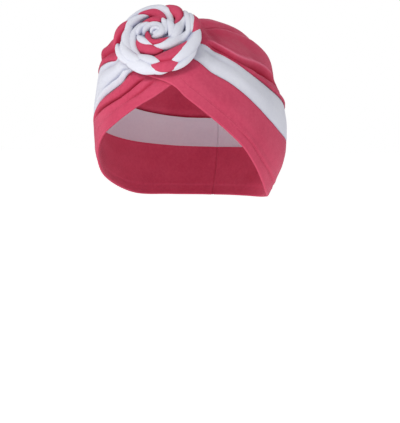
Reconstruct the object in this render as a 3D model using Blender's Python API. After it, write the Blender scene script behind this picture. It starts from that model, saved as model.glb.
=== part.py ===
"""A pink jersey turban in its worn shape, with a white stripe round each side and a coiled braid rosette.

The front faces -Y, the wearer's left is +X, and the origin is the inner top of the crown, where a head
holds it. Every cloth panel is a wall of one thickness that follows an egg, the shape of the head inside.
Points on the egg are given by an azimuth, 0 at the front and positive towards the wearer's left, and a
height, as a share of the egg's rise above or below its middle.
"""

import math

import bpy
import numpy as np

# The egg that the wrap is stretched over, as half sizes from its middle. It is longer below than above.
INNER_HALF_WIDTH = 0.0775
INNER_HALF_LENGTH = 0.0975
INNER_RISE = 0.0910
INNER_DROP = 0.1030

# Jersey, doubled and turned in at its edges.
WALL = 0.0022
GAP = 0.0003
CROSSING_EASE = 0.0005

# Height of the folds in each part of the cloth.
CROWN_FOLD = 0.0034
CROWN_EDGE_ROLL = 0.0020
STRIPE_FOLD = 0.0012
STRIPE_CROWNING = 0.0006
RIGHT_BAND_PLEAT = 0.0020
HEM_ROLL = 0.0005

# The rosette's seat is a plane that touches the egg, and the rosette sits above the point of touch.
ROSETTE_AZIMUTH = -1.0
ROSETTE_ELEVATION = 42.0
ROSETTE_UP = 0.0070
ROSETTE_SIDE = -0.0035
TENT_SHARE = 0.50
TENT_REACH_SHARE = 0.85
SWELL = 0.0100

# The braid: a strand's radius, how far it sways and rises from the braid's middle, and one repeat of it.
# Where two strands press together, both are flattened short of the plane between them. A narrower stretch
# of the braid is also plaited more tightly.
STRAND_RADIUS = 0.0047
BRAID_SWAY = 0.00265
BRAID_RISE = 0.0027
BRAID_REPEAT = 0.0840
PRESSED_GAP = 0.0015
COIL_DOME = 0.0070
COIL_START = 0.20
COIL_END = 2.920
COIL_END_CLOCK = 262.0
STRAND_TIP = 0.0060

# Meshes: steps along a panel, across the bands, stripes and crown, and along and round a strand.
ALONG = 36
ACROSS_BAND = 6
ACROSS_STRIPE = 5
ALONG_CROWN = 36
ACROSS_CROWN = 24
ALONG_STRAND = 88
ROUND_STRAND = 8

# Edges of the panels, from under the rosette round each side to the middle of the back.
# Columns: azimuth in degrees, height as a share of the egg's rise.
LEFT_RIM = (
    (-14.0, 0.460),
    (7.0, 0.374),
    (16.0, 0.270),
    (25.0, 0.168),
    (34.0, 0.060),
    (43.0, -0.055),
    (52.0, -0.175),
    (62.0, -0.328),
    (74.0, -0.478),
    (90.0, -0.592),
    (120.0, -0.648),
    (150.0, -0.662),
    (180.0, -0.665),
)
LEFT_SEAM = (
    (-3.5, 0.640),
    (11.0, 0.618),
    (22.0, 0.562),
    (33.0, 0.480),
    (43.0, 0.410),
    (53.0, 0.306),
    (63.0, 0.182),
    (74.0, 0.055),
    (88.0, -0.065),
    (108.0, -0.160),
    (132.0, -0.218),
    (156.0, -0.244),
    (180.0, -0.250),
)
LEFT_TOP = (
    (-3.5, 0.770),
    (14.0, 0.738),
    (28.0, 0.694),
    (40.0, 0.655),
    (51.0, 0.604),
    (61.0, 0.514),
    (71.0, 0.410),
    (83.0, 0.308),
    (98.0, 0.215),
    (118.0, 0.128),
    (138.0, 0.070),
    (158.0, 0.038),
    (180.0, 0.030),
)
RIGHT_RIM = (
    (15.0, 0.450),
    (7.0, 0.374),
    (-3.0, 0.280),
    (-12.0, 0.207),
    (-22.0, 0.118),
    (-32.0, 0.028),
    (-42.0, -0.050),
    (-52.0, -0.155),
    (-62.0, -0.285),
    (-77.0, -0.440),
    (-111.0, -0.620),
    (-146.0, -0.658),
    (-180.0, -0.665),
)
RIGHT_SEAM = (
    (-5.5, 0.640),
    (-13.0, 0.545),
    (-21.0, 0.457),
    (-29.0, 0.385),
    (-38.0, 0.315),
    (-47.0, 0.248),
    (-56.0, 0.162),
    (-66.0, 0.080),
    (-79.0, -0.002),
    (-98.0, -0.095),
    (-124.0, -0.185),
    (-152.0, -0.235),
    (-180.0, -0.250),
)
RIGHT_TOP = (
    (-5.5, 0.770),
    (-17.0, 0.712),
    (-26.0, 0.650),
    (-34.0, 0.604),
    (-42.0, 0.575),
    (-51.0, 0.552),
    (-61.0, 0.518),
    (-73.0, 0.448),
    (-88.0, 0.340),
    (-108.0, 0.212),
    (-131.0, 0.105),
    (-156.0, 0.042),
    (-180.0, 0.030),
)
# The crown's middle line over the top, in degrees from level at the front, one row for each row above.
CROWN_MIDDLE = (51.0, 57.0, 63.0, 70.0, 78.0, 87.0, 97.0, 108.0, 120.0, 133.0, 147.0, 162.0, 177.0)

# Folds along a panel. Columns: place across it, half width across it, height share, and the shares of
# the panel's length between which the fold is full.
CROWN_FOLDS = (
    (0.115, 0.028, 0.80, 0.10, 0.72),
    (0.195, 0.026, 0.62, 0.06, 0.60),
    (0.285, 0.030, 1.00, 0.10, 0.66),
    (0.385, 0.034, 0.40, 0.08, 0.55),
    (0.480, 0.036, 0.35, 0.10, 0.62),
    (0.585, 0.034, 0.40, 0.08, 0.55),
    (0.690, 0.032, 0.90, 0.10, 0.66),
    (0.785, 0.028, 0.66, 0.06, 0.60),
    (0.875, 0.028, 0.85, 0.10, 0.72),
)
RIGHT_BAND_PLEATS = (
    (0.22, 0.16, 0.45, 0.16, 0.52),
    (0.54, 0.11, 0.80, 0.14, 0.48),
    (0.86, 0.10, 1.00, 0.14, 0.50),
)
RIGHT_STRIPE_FOLDS = (
    (0.26, 0.14, 1.00, 0.18, 0.50),
    (0.72, 0.14, 0.90, 0.18, 0.46),
)

# The coil's middle line. It ends in a thinning tail that fills the step where the outer turn begins.
# Columns: turns from the eye, radius in widths of the braid, share of the braid's full width.
COIL = (
    (0.0000, 0.267, 0.500),
    (0.7600, 0.267, 0.500),
    (0.8225, 0.381, 0.567),
    (0.8850, 0.634, 0.715),
    (0.9475, 0.886, 0.863),
    (1.0100, 1.000, 0.930),
    (1.7600, 1.000, 0.930),
    (1.8225, 1.151, 0.941),
    (1.8850, 1.484, 0.965),
    (1.9475, 1.816, 0.989),
    (2.0100, 1.967, 1.000),
    (2.7600, 1.967, 1.000),
    (2.8225, 2.052, 0.830),
    (2.8850, 2.222, 0.490),
    (2.9300, 2.347, 0.240),
)
COIL_EDGE = 2.467

# Places where the cloth stands off the head. Columns: azimuth, height share, spread in degrees to the
# side and up and down, and its share of the swell.
SWELLS = (
    (-52.0, 0.620, 20.0, 16.0, 1.00),
    (86.0, 0.560, 18.0, 14.0, -0.12),
    (98.0, -0.260, 26.0, 13.0, 0.28),
)

# The left band crosses over the right one up to this share of its length, then comes down.
CROSSING_END = 0.165
CROSSING_FADE = 0.150

LAYER = WALL + GAP + CROSSING_EASE
BRAID_WIDTH = 2.0 * (BRAID_SWAY + STRAND_RADIUS) + GAP
ROSETTE_RADIUS = COIL_EDGE * BRAID_WIDTH
MIDDLE = np.array([0.0, 0.0, -INNER_RISE])
EGG = np.array([INNER_HALF_WIDTH, INNER_HALF_LENGTH, INNER_RISE])
LOWER_EGG = np.array([INNER_HALF_WIDTH, INNER_HALF_LENGTH, INNER_DROP])

_azimuth = math.radians(ROSETTE_AZIMUTH)
_elevation = math.radians(ROSETTE_ELEVATION)
SEAT_NORMAL = np.array(
    [
        math.cos(_elevation) * math.sin(_azimuth),
        -math.cos(_elevation) * math.cos(_azimuth),
        math.sin(_elevation),
    ]
)
SEAT_RIGHT = np.array([math.cos(_azimuth), math.sin(_azimuth), 0.0])
SEAT_UP = np.cross(SEAT_NORMAL, SEAT_RIGHT)
SEAT_DISTANCE = float(np.linalg.norm(EGG * SEAT_NORMAL))
SEAT_CENTRE = EGG**2 * SEAT_NORMAL / SEAT_DISTANCE + ROSETTE_UP * SEAT_UP + ROSETTE_SIDE * SEAT_RIGHT


def smooth(x):
    x = np.clip(x, 0.0, 1.0)
    return x * x * (3.0 - 2.0 * x)


def unit(vectors):
    return vectors / np.linalg.norm(vectors, axis=-1, keepdims=True)


def curve(rows, share):
    """Reads a smooth curve through evenly spaced rows, at shares of its length from 0 to 1."""
    rows = np.asarray(rows, float)
    if rows.ndim == 1:
        rows = rows[:, None]
    last = len(rows) - 1
    place = np.clip(np.asarray(share, float), 0.0, 1.0) * last
    first = np.minimum(place.astype(int), last - 1)
    t = (place - first)[:, None]
    padded = np.vstack([2 * rows[0] - rows[1], rows, 2 * rows[-1] - rows[-2]])
    p0, p1, p2, p3 = (padded[first + k] for k in range(4))
    return 0.5 * (
        2 * p1 + (p2 - p0) * t + (2 * p0 - 5 * p1 + 4 * p2 - p3) * t**2 + (3 * p1 - p0 - 3 * p2 + p3) * t**3
    )


def direction(azimuth, height):
    """The direction from the egg's middle to the point at this azimuth and height share."""
    azimuth = np.radians(azimuth)
    level = np.sqrt(1.0 - height**2)
    across = np.stack([np.sin(azimuth) * level, -np.cos(azimuth) * level, height], axis=-1)
    return unit(across * EGG)


def egg_radius(directions):
    """Distance from the egg's middle to its surface."""
    upper = 1.0 / np.linalg.norm(directions / EGG, axis=-1)
    lower = 1.0 / np.linalg.norm(directions / LOWER_EGG, axis=-1)
    return np.where(directions[..., 2] > 0.0, upper, lower)


def edge(rows, share):
    """A panel's edge as directions. It stops half a gap short of the middle of the back."""
    points = curve(rows, share)
    stop = math.degrees(0.5 * GAP / INNER_HALF_WIDTH)
    return direction(points[:, 0] * (1.0 - stop / 180.0), points[:, 1])


def seat_place(directions):
    """Where each direction meets the rosette's seat: distance from its centre, and the slant there."""
    facing = directions @ SEAT_NORMAL
    slant = np.maximum(facing, 0.2)
    offset = directions * (SEAT_DISTANCE / slant)[..., None] - SEAT_CENTRE
    across = offset @ SEAT_RIGHT
    up = offset @ SEAT_UP
    away = np.where(facing > 0.2, 0.0, SEAT_DISTANCE / 0.2)
    return np.hypot(across, up) + away, up, slant


def dome(radius):
    """How far the coil's turns rise above the seat, at a distance from its centre."""
    edge_radius = ROSETTE_RADIUS - 0.5 * BRAID_WIDTH
    return COIL_DOME * np.clip(1.0 - (radius / edge_radius) ** 2, 0.0, 1.0)


def tent(directions):
    """1 where the cloth is pulled out to the rosette's seat, fading to 0 on the head around it."""
    radius, _, slant = seat_place(directions)
    fade = smooth((radius - TENT_SHARE * ROSETTE_RADIUS) / (TENT_REACH_SHARE * ROSETTE_RADIUS))
    return 1.0 - fade, slant, SEAT_DISTANCE + dome(radius + 0.35 * BRAID_WIDTH)


def swell(directions):
    """How far the cloth stands off the egg where it is bunched."""
    total = np.zeros(directions.shape[:-1])
    for azimuth, height, side, rise, share in SWELLS:
        centre = direction(np.array([azimuth]), np.array([height]))[0]
        level = unit(np.array([-centre[1], centre[0], 0.0]))
        upward = np.cross(centre, level)
        x = np.degrees(np.arctan2(directions @ level, directions @ centre)) / side
        y = np.degrees(np.arctan2(directions @ upward, directions @ centre)) / rise
        total += SWELL * share * np.exp(-(x**2) - y**2)
    return total


def clear_of_rosette(directions):
    """0 under the rosette, where folds are pressed flat, and 1 beyond its edge."""
    radius, _, _ = seat_place(directions)
    return smooth((radius - ROSETTE_RADIUS) / (0.3 * ROSETTE_RADIUS))


def place(directions, lift):
    """Points at a lift above the egg, or above the rosette's seat where the cloth is pulled out to it."""
    weight, slant, seat = tent(directions)
    egg = egg_radius(directions) + swell(directions) * (1.0 - weight)
    radius = egg + weight * (seat / slant - egg) + lift * (1.0 + weight * (1.0 / slant - 1.0))
    return MIDDLE + directions * radius[..., None]


def folds(rows, share, across):
    """Sum of the folds of a table at shares along a panel and places across it, both as grids."""
    total = np.zeros_like(across)
    for middle, half_width, height, begin, end in rows:
        full = smooth(share / begin) * smooth((1.0 - share) / (1.0 - end))
        total += height * full * np.exp(-(((across - middle) / half_width) ** 2))
    return total


def margin(spread):
    """Half a gap as a share of the width of a panel whose edges lie this far apart on a unit ball."""
    return 0.5 * GAP / (spread * float(EGG.min()))


def band_grid(lower_rows, upper_rows, along, across):
    """Directions of a panel between two edges, with the shares along and across it, as grids."""
    share = np.linspace(0.0, 1.0, along + 1)
    lower = edge(lower_rows, share)
    upper = edge(upper_rows, share)
    side = margin(np.linalg.norm(upper - lower, axis=1))[:, None]
    v = side + (1.0 - 2.0 * side) * np.linspace(0.0, 1.0, across + 1)[None, :]
    grid = unit(lower[:, None] * (1.0 - v[..., None]) + upper[:, None] * v[..., None])
    return grid, np.repeat(share[:, None], across + 1, axis=1), v


def crown_grid(along, across):
    """Directions of the crown: an arc over the top for each share of its length, left to right."""
    share = np.linspace(0.0, 1.0, along + 1)
    left = edge(LEFT_TOP, share)
    right = edge(RIGHT_TOP, share)
    angle = np.radians(curve(CROWN_MIDDLE, share)[:, 0])
    middle = unit(np.stack([np.zeros_like(angle), -np.cos(angle), np.sin(angle)], axis=1) * EGG)
    nearness = 0.5 * ((left * middle).sum(1) + (right * middle).sum(1))
    pull = (1.0 + nearness)[:, None] * middle - 0.5 * (left + right)
    start_speed = 2.0 * np.linalg.norm(pull - (pull * left).sum(1)[:, None] * left, axis=1)
    end_speed = 2.0 * np.linalg.norm(pull - (pull * right).sum(1)[:, None] * right, axis=1)
    first = margin(start_speed)[:, None]
    last = 1.0 - margin(end_speed)[:, None]
    v = first + (last - first) * np.linspace(0.0, 1.0, across + 1)[None, :]
    w = v[..., None]
    grid = (1.0 - w) ** 2 * left[:, None] + 2.0 * w * (1.0 - w) * pull[:, None] + w**2 * right[:, None]
    return unit(grid), np.repeat(share[:, None], across + 1, axis=1), v


def wall_mesh(outer, inner):
    """Vertices and faces of a closed wall between two grids of points."""
    rows, columns = outer.shape[:2]
    points = np.concatenate([outer.reshape(-1, 3), inner.reshape(-1, 3)])
    below = rows * columns

    def at(i, j):
        return i * columns + j

    faces = []
    for i in range(rows - 1):
        for j in range(columns - 1):
            quad = (at(i, j), at(i + 1, j), at(i + 1, j + 1), at(i, j + 1))
            faces.append(quad)
            faces.append(tuple(below + n for n in reversed(quad)))
    border = [at(i, 0) for i in range(rows)]
    border += [at(rows - 1, j) for j in range(1, columns)]
    border += [at(i, columns - 1) for i in range(rows - 2, -1, -1)]
    border += [at(0, j) for j in range(columns - 2, 0, -1)]
    for n, here in enumerate(border):
        after = border[(n + 1) % len(border)]
        faces.append((after, here, below + here, below + after))
    return points, faces


def strand_mesh(phase):
    """Vertices and faces of one strand of the braid, coiled outwards and clockwise from the eye."""
    rows = np.array(COIL)
    fine = np.linspace(COIL_START, COIL_END, 1200)
    radius = np.interp(fine, rows[:, 0], rows[:, 1]) * BRAID_WIDTH
    kernel = np.hanning(41)
    radius = np.convolve(np.pad(radius, 20, mode="edge"), kernel / kernel.sum(), mode="valid")
    width = np.interp(fine, rows[:, 0], rows[:, 2])
    clock = math.radians(COIL_END_CLOCK) + 2.0 * math.pi * (fine - COIL_END)
    steps = np.hypot(np.diff(radius), radius[:-1] * np.diff(clock)) / np.sqrt(width[:-1])
    length = np.concatenate([[0.0], np.cumsum(steps)])
    at = np.linspace(0.0, length[-1], ALONG_STRAND + 1)
    radius = np.interp(at, length, radius)
    clock = np.interp(at, length, clock)
    width = np.interp(at, length, width)
    outward = np.sin(clock)[:, None] * SEAT_RIGHT + np.cos(clock)[:, None] * SEAT_UP
    up = WALL + LAYER + GAP + width * (STRAND_RADIUS + BRAID_RISE) + dome(radius)
    middle = MIDDLE + SEAT_CENTRE + radius[:, None] * outward + up[:, None] * SEAT_NORMAL
    tip = np.clip(np.minimum(at, length[-1] - at) / STRAND_TIP, 0.0, 1.0)
    size = np.sqrt(np.clip(1.0 - (1.0 - tip) ** 2, 0.04, 1.0))
    centres = []
    for other in range(3):
        turn = 2.0 * math.pi * (at / BRAID_REPEAT + phase + other / 3.0)
        sway = width * BRAID_SWAY * np.sin(turn)
        centres.append(np.stack([sway, -width * BRAID_RISE * np.sin(2.0 * turn)], axis=1))
    points = []
    for j in range(ROUND_STRAND):
        angle = 2.0 * math.pi * j / ROUND_STRAND
        ray = np.array([math.cos(angle), math.sin(angle)])
        reach = width * STRAND_RADIUS
        for other in centres[1:]:
            apart = other - centres[0]
            gap = np.linalg.norm(apart, axis=1)
            toward = (apart @ ray) / gap
            pressed = 0.5 * (gap - PRESSED_GAP) / np.maximum(toward, 0.01)
            reach = np.where(toward > 0.01, np.minimum(reach, pressed), reach)
        spot = centres[0] + (reach * size)[:, None] * ray
        points.append(middle + spot[:, :1] * outward + spot[:, 1:] * SEAT_NORMAL)
    points = np.stack(points, axis=1).reshape(-1, 3)
    faces = []
    for i in range(ALONG_STRAND):
        for j in range(ROUND_STRAND):
            k = (j + 1) % ROUND_STRAND
            here = i * ROUND_STRAND
            after = here + ROUND_STRAND
            faces.append((here + j, here + k, after + k, after + j))
    end = ALONG_STRAND * ROUND_STRAND
    faces.append(tuple(range(ROUND_STRAND - 1, -1, -1)))
    faces.append(tuple(range(end, end + ROUND_STRAND)))
    return points, faces


def facing_out(points, faces):
    """The faces, all turned round if the solid they close is inside out."""
    volume = 0.0
    middle = points.mean(axis=0)
    for face in faces:
        first = points[face[0]] - middle
        for b, c in zip(face[1:-1], face[2:]):
            volume += float(np.dot(first, np.cross(points[b] - middle, points[c] - middle)))
    return faces if volume > 0 else [tuple(reversed(face)) for face in faces]


def cloth_material(name, colour, roughness):
    material = bpy.data.materials.new(name)
    material.use_nodes = True
    shader = material.node_tree.nodes["Principled BSDF"]
    shader.inputs["Base Color"].default_value = (*colour, 1.0)
    shader.inputs["Roughness"].default_value = roughness
    shader.inputs["Metallic"].default_value = 0.0
    material.diffuse_color = (*colour, 1.0)
    return material


def add_piece(name, points, faces, material):
    mesh = bpy.data.meshes.new(name)
    mesh.from_pydata(points.tolist(), [], facing_out(points, faces))
    mesh.update()
    mesh.shade_smooth()
    mesh.set_sharp_from_angle(angle=math.radians(50))
    mesh.materials.append(material)
    piece = bpy.data.objects.new(name, mesh)
    bpy.context.scene.collection.objects.link(piece)
    piece.parent = bpy.data.objects["turban"]
    return piece


def add_wall(name, directions, lift, material):
    outer = place(directions, lift + WALL)
    inner = place(directions, lift)
    points, faces = wall_mesh(outer, inner)
    return add_piece(name, points, faces, material)


def main():
    for thing in list(bpy.data.objects):
        bpy.data.objects.remove(thing, do_unlink=True)
    holder = bpy.data.objects.new("turban", None)
    bpy.context.scene.collection.objects.link(holder)
    pink = (0.68, 0.065, 0.140)
    white = (0.80, 0.81, 0.86)

    grid, share, across = band_grid(LEFT_RIM, LEFT_SEAM, ALONG, ACROSS_BAND)
    over = 1.0 - smooth((share - CROSSING_END) / CROSSING_FADE)
    hem = HEM_ROLL * np.exp(-((across / 0.2) ** 2)) * clear_of_rosette(grid)
    lift = LAYER * np.maximum(over, tent(grid)[0] * (1.0 - clear_of_rosette(grid))) + hem
    add_wall("left_front_band", grid, lift, cloth_material("pink_jersey_left_band", pink, 0.85))

    grid, share, across = band_grid(RIGHT_RIM, RIGHT_SEAM, ALONG, ACROSS_BAND)
    open_cloth = clear_of_rosette(grid) * smooth((share - 0.15) / 0.10)
    lift = RIGHT_BAND_PLEAT * folds(RIGHT_BAND_PLEATS, share, across) * open_cloth
    add_wall("right_front_band", grid, lift, cloth_material("pink_jersey_right_band", pink, 0.85))

    for name, lower, upper, rows in (
        ("left_white_stripe", LEFT_SEAM, LEFT_TOP, ()),
        ("right_white_stripe", RIGHT_SEAM, RIGHT_TOP, RIGHT_STRIPE_FOLDS),
    ):
        grid, share, across = band_grid(lower, upper, ALONG, ACROSS_STRIPE)
        open_cloth = clear_of_rosette(grid)
        raised = LAYER * (1.0 - open_cloth)
        bulge = STRIPE_CROWNING * 4.0 * across * (1.0 - across)
        lift = raised + (bulge + STRIPE_FOLD * folds(rows, share, across)) * open_cloth
        add_wall(name, grid, lift, cloth_material("white_jersey_" + name[:5], white, 0.8))

    grid, share, across = crown_grid(ALONG_CROWN, ACROSS_CROWN)
    open_cloth = clear_of_rosette(grid)
    roll = np.exp(-((across / 0.05) ** 2)) + np.exp(-(((1.0 - across) / 0.05) ** 2))
    roll = CROWN_EDGE_ROLL * roll * smooth((1.0 - share) / 0.45)
    lift = LAYER * (1.0 - open_cloth) + (roll + CROWN_FOLD * folds(CROWN_FOLDS, share, across)) * open_cloth
    add_wall("crown", grid, lift, cloth_material("pink_jersey_crown", pink, 0.85))

    for name, phase, colour in (
        ("rosette_strand_pink", 0.0, pink),
        ("rosette_strand_white_a", 1.0 / 3.0, white),
        ("rosette_strand_white_b", 2.0 / 3.0, white),
    ):
        points, faces = strand_mesh(phase)
        add_piece(name, points, faces, cloth_material(name + "_jersey", colour, 0.8))


main()
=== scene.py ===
"""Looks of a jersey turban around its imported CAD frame.

The panels repeat the CAD's own shape functions more finely, with the folds, rolls, seams and stitches of
the cloth. The braid of the rosette is built lobe by lobe. The front faces -Y and the side that is called
left is +X. All sizes are in metres.
"""

import math

import bpy
import numpy as np
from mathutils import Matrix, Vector, noise


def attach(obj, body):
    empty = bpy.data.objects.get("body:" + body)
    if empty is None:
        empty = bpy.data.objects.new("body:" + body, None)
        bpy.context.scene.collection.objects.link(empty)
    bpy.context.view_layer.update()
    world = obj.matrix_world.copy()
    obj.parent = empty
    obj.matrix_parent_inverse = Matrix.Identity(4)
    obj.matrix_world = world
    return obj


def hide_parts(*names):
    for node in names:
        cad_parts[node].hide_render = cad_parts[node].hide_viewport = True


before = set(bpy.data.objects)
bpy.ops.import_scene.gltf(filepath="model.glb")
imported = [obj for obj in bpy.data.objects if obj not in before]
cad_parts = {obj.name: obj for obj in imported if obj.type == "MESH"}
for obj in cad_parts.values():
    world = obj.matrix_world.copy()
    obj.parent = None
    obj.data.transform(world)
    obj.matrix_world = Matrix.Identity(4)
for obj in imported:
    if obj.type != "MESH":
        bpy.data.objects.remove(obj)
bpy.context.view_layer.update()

# ---------------------------------------------------------------- sizes shared with the CAD
INNER_HALF_WIDTH = 0.0775
INNER_HALF_LENGTH = 0.0975
INNER_RISE = 0.0910
INNER_DROP = 0.1030
WALL = 0.0022
GAP = 0.0003
LAYER_SLACK = 0.0005
LAYER = WALL + GAP + LAYER_SLACK
ROSETTE_AZIMUTH = -1.0
ROSETTE_ELEVATION = 42.0
ROSETTE_UP = 0.0070
ROSETTE_SIDE = -0.0035
TENT_SHARE = 0.50
TENT_REACH_SHARE = 0.85
SWELL = 0.0100
COIL_DOME = 0.0070
BRAID_WIDTH = 0.0150
ROSETTE_RADIUS = 2.467 * BRAID_WIDTH
CROSSING_END = 0.165
CROSSING_FADE = 0.150

# Edges of the panels, from under the rosette to the middle of the back: azimuth in degrees, height share.
LEFT_RIM = (
    (-14.0, 0.460), (7.0, 0.374), (16.0, 0.270), (25.0, 0.168), (34.0, 0.060), (43.0, -0.055),
    (52.0, -0.175), (62.0, -0.328), (74.0, -0.478), (90.0, -0.592), (120.0, -0.648), (150.0, -0.662),
    (180.0, -0.665),
)
LEFT_SEAM = (
    (-3.5, 0.640), (11.0, 0.618), (22.0, 0.562), (33.0, 0.480), (43.0, 0.410), (53.0, 0.306),
    (63.0, 0.182), (74.0, 0.055), (88.0, -0.065), (108.0, -0.160), (132.0, -0.218), (156.0, -0.244),
    (180.0, -0.250),
)
LEFT_TOP = (
    (-3.5, 0.770), (14.0, 0.736), (28.0, 0.684), (40.0, 0.664), (51.0, 0.592), (61.0, 0.500),
    (71.0, 0.408), (83.0, 0.308), (98.0, 0.215), (118.0, 0.128), (138.0, 0.070), (158.0, 0.038),
    (180.0, 0.030),
)
RIGHT_RIM = (
    (15.0, 0.450), (7.0, 0.374), (-3.0, 0.280), (-12.0, 0.207), (-22.0, 0.118), (-32.0, 0.028),
    (-42.0, -0.050), (-52.0, -0.155), (-62.0, -0.285), (-77.0, -0.440), (-111.0, -0.620),
    (-146.0, -0.658), (-180.0, -0.665),
)
RIGHT_SEAM = (
    (-5.5, 0.640), (-13.0, 0.545), (-21.0, 0.457), (-29.0, 0.385), (-38.0, 0.315), (-47.0, 0.248),
    (-56.0, 0.162), (-66.0, 0.080), (-79.0, -0.002), (-98.0, -0.095), (-124.0, -0.185),
    (-152.0, -0.235), (-180.0, -0.250),
)
RIGHT_TOP = (
    (-5.5, 0.770), (-17.0, 0.712), (-26.0, 0.650), (-34.0, 0.604), (-42.0, 0.558), (-51.0, 0.514),
    (-61.0, 0.478), (-73.0, 0.422), (-88.0, 0.332), (-108.0, 0.212), (-131.0, 0.105),
    (-156.0, 0.042), (-180.0, 0.030),
)
CROWN_MIDDLE = (51.0, 57.0, 63.0, 70.0, 78.0, 87.0, 97.0, 108.0, 120.0, 133.0, 147.0, 162.0, 177.0)

# Places where the cloth stands off the egg, or lies closer to it: azimuth and height share of the middle,
# spread aside and upward in degrees, and share of the full swell.
SWELLS = (
    (-52.0, 0.620, 20.0, 16.0, 1.00),
    (86.0, 0.560, 18.0, 14.0, -0.12),
    (98.0, -0.260, 26.0, 13.0, 0.28),
)

# ---------------------------------------------------------------- folds
# A fold is (path, lower half width, upper half width, height in metres, begin, full, fading, end). The path
# gives (share along the panel, place across it), the half widths are shares of the panel's width, a crease
# has a height below 0, and the last four are shares of the panel's length.
CROWN_FOLDS = (
    (((0.10, 0.044), (0.25, 0.038), (0.30, 0.034), (0.36, 0.036), (0.42, 0.057), (0.473, 0.080), (0.53, 0.103),
      (0.60, 0.119), (0.90, 0.160)), 0.0095, 0.015, 0.0034, 0.10, 0.22, 0.52, 0.68),
    (((0.10, 0.060), (0.30, 0.056), (0.36, 0.060), (0.46, 0.100), (0.53, 0.122), (0.64, 0.135), (0.90, 0.175)),
     0.026, 0.050, 0.0018, 0.10, 0.22, 0.50, 0.70),
    (((0.10, 0.018), (0.30, 0.011), (0.36, 0.012), (0.42, 0.030), (0.473, 0.056), (0.53, 0.080), (0.60, 0.098)),
     0.014, 0.010, -0.0034, 0.12, 0.24, 0.54, 0.72),
    (((0.10, 0.150), (0.24, 0.188), (0.287, 0.206), (0.32, 0.216), (0.39, 0.230), (0.453, 0.241), (0.50, 0.236),
      (0.54, 0.230), (0.60, 0.226), (0.90, 0.226)), 0.030, 0.0090, 0.0022, 0.08, 0.18, 0.56, 0.80),
    (((0.10, 0.176), (0.24, 0.210), (0.287, 0.228), (0.32, 0.238), (0.39, 0.252), (0.453, 0.263), (0.50, 0.258),
      (0.56, 0.252), (0.90, 0.250)), 0.010, 0.014, -0.0022, 0.08, 0.18, 0.42, 0.54),
    (((0.40, 0.205), (0.90, 0.215)), 0.050, 0.075, 0.0030, 0.44, 0.54, 0.60, 0.74),
    (((0.40, 0.130), (0.90, 0.140)), 0.030, 0.034, -0.0016, 0.58, 0.65, 0.68, 0.80),
    (((0.10, 0.285), (0.32, 0.320), (0.36, 0.310), (0.50, 0.310), (0.90, 0.320)),
     0.026, 0.050, 0.0024, 0.06, 0.16, 0.52, 0.80),
    (((0.10, 0.385), (0.90, 0.385)), 0.040, 0.022, 0.0014, 0.06, 0.14, 0.36, 0.76),
    (((0.10, 0.450), (0.90, 0.445)), 0.022, 0.026, -0.0010, 0.06, 0.14, 0.40, 0.80),
    (((0.10, 0.515), (0.90, 0.505)), 0.026, 0.034, 0.0016, 0.06, 0.14, 0.38, 0.80),
    (((0.10, 0.610), (0.90, 0.610)), 0.022, 0.038, 0.0014, 0.06, 0.14, 0.36, 0.76),
    (((0.10, 0.700), (0.32, 0.690), (0.90, 0.700)), 0.055, 0.018, 0.0022, 0.06, 0.14, 0.46, 0.82),
    (((0.10, 0.820), (0.36, 0.800), (0.90, 0.795)), 0.016, 0.070, 0.0024, 0.08, 0.16, 0.50, 0.86),
    (((0.10, 0.900), (0.35, 0.905), (0.50, 0.890), (0.90, 0.845)),
     0.050, 0.030, 0.0018, 0.10, 0.18, 0.48, 0.86),
    (((0.10, 0.975), (0.25, 0.966), (0.34, 0.960), (0.42, 0.972), (0.60, 0.975)),
     0.012, 0.010, -0.0018, 0.12, 0.20, 0.44, 0.66),
)
# Puffs of the crown beside the rosette: place along and across, half widths along and across, height in metres.
PUFFS = ((0.335, 0.895, 0.060, 0.050, 0.0030), (0.450, 0.948, 0.055, 0.028, 0.0036))
RIGHT_BAND_FOLDS = (
    (((0.10, 0.900), (0.17, 0.895), (0.235, 0.846), (0.333, 0.800), (0.455, 0.860), (0.70, 0.92)),
     0.10, 0.14, 0.0020, 0.10, 0.16, 0.44, 0.66),
    (((0.10, 0.630), (0.14, 0.615), (0.18, 0.615), (0.245, 0.599), (0.307, 0.582), (0.40, 0.665), (0.50, 0.780),
      (0.60, 0.860)), 0.036, 0.050, -0.0034, 0.10, 0.15, 0.44, 0.60),
    (((0.10, 0.540), (0.20, 0.530), (0.31, 0.500), (0.42, 0.570), (0.60, 0.720)),
     0.11, 0.055, 0.0016, 0.10, 0.16, 0.40, 0.60),
    (((0.09, 0.400), (0.113, 0.385), (0.155, 0.352), (0.20, 0.335), (0.30, 0.320)),
     0.040, 0.040, -0.0014, 0.07, 0.11, 0.20, 0.32),
    (((0.10, 0.200), (0.60, 0.220)), 0.12, 0.14, 0.0007, 0.08, 0.15, 0.30, 0.55),
    (((0.10, 1.000), (0.60, 1.000)), 0.045, 0.045, -0.0024, 0.08, 0.14, 0.40, 0.62),
)
RIGHT_STRIPE_FOLDS = (
    (((0.10, 0.100), (0.163, 0.150), (0.208, 0.220), (0.275, 0.270), (0.333, 0.250), (0.385, 0.235), (0.50, 0.230)),
     0.034, 0.050, -0.0032, 0.09, 0.13, 0.32, 0.48),
    (((0.12, 0.08), (0.185, 0.110), (0.24, 0.130), (0.29, 0.150), (0.325, 0.140), (0.50, 0.120)),
     0.075, 0.06, 0.0026, 0.12, 0.17, 0.36, 0.62),
    (((0.12, 0.30), (0.21, 0.42), (0.30, 0.50), (0.50, 0.58)),
     0.11, 0.18, 0.0016, 0.12, 0.18, 0.34, 0.56),
    (((0.12, 0.62), (0.30, 0.78), (0.50, 0.84)), 0.07, 0.06, -0.0010, 0.12, 0.20, 0.34, 0.50),
)
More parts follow.
